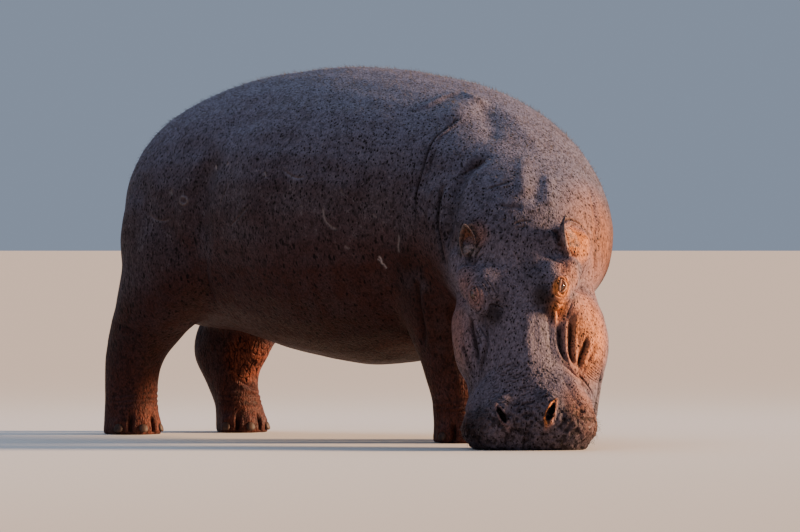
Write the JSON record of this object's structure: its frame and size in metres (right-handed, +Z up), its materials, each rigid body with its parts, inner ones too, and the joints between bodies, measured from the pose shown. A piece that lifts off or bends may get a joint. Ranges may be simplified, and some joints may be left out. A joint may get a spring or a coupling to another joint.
{
  "type": "hippopotamus",
  "caption": "Life-size still model of a grazing hippopotamus, standing with its head down and turned to its right, lips and soles on the floor.",
  "frame": {"origin": "centre of the bounding box's footprint, on the floor plane that the soles and lips touch", "axes": "+X the way the hindquarters face, along the animal; +Y towards its left side; +Z up"},
  "size_m": [2.698, 1.6022, 1.4841],
  "materials": {
    "skin": "thick, nearly hairless hide, slightly damp sheen",
    "leg_skin": "reddish brown wrinkled hide",
    "ear_skin": "thin pinkish brown skin",
    "eye": "wet gloss",
    "nail": "worn dark horn"
  },
  "bodies": {
    "root": {"trunk": "skin", "neck": "skin", "head": "skin", "tail": "skin", "leg_hind_right": "leg_skin", "leg_hind_left": "leg_skin", "leg_fore_right": "leg_skin", "leg_fore_left": "leg_skin", "ear_right": "ear_skin", "ear_left": "ear_skin", "eye_right": "eye", "eye_left": "eye", "nail_hind_right_1": "nail", "nail_hind_right_2": "nail", "nail_hind_right_3": "nail", "nail_hind_right_4": "nail", "nail_hind_left_1": "nail", "nail_hind_left_2": "nail", "nail_hind_left_3": "nail", "nail_hind_left_4": "nail", "nail_fore_right_1": "nail", "nail_fore_right_2": "nail", "nail_fore_right_3": "nail", "nail_fore_right_4": "nail", "nail_fore_left_1": "nail", "nail_fore_left_2": "nail", "nail_fore_left_3": "nail", "nail_fore_left_4": "nail"}
  },
  "joints": []
}
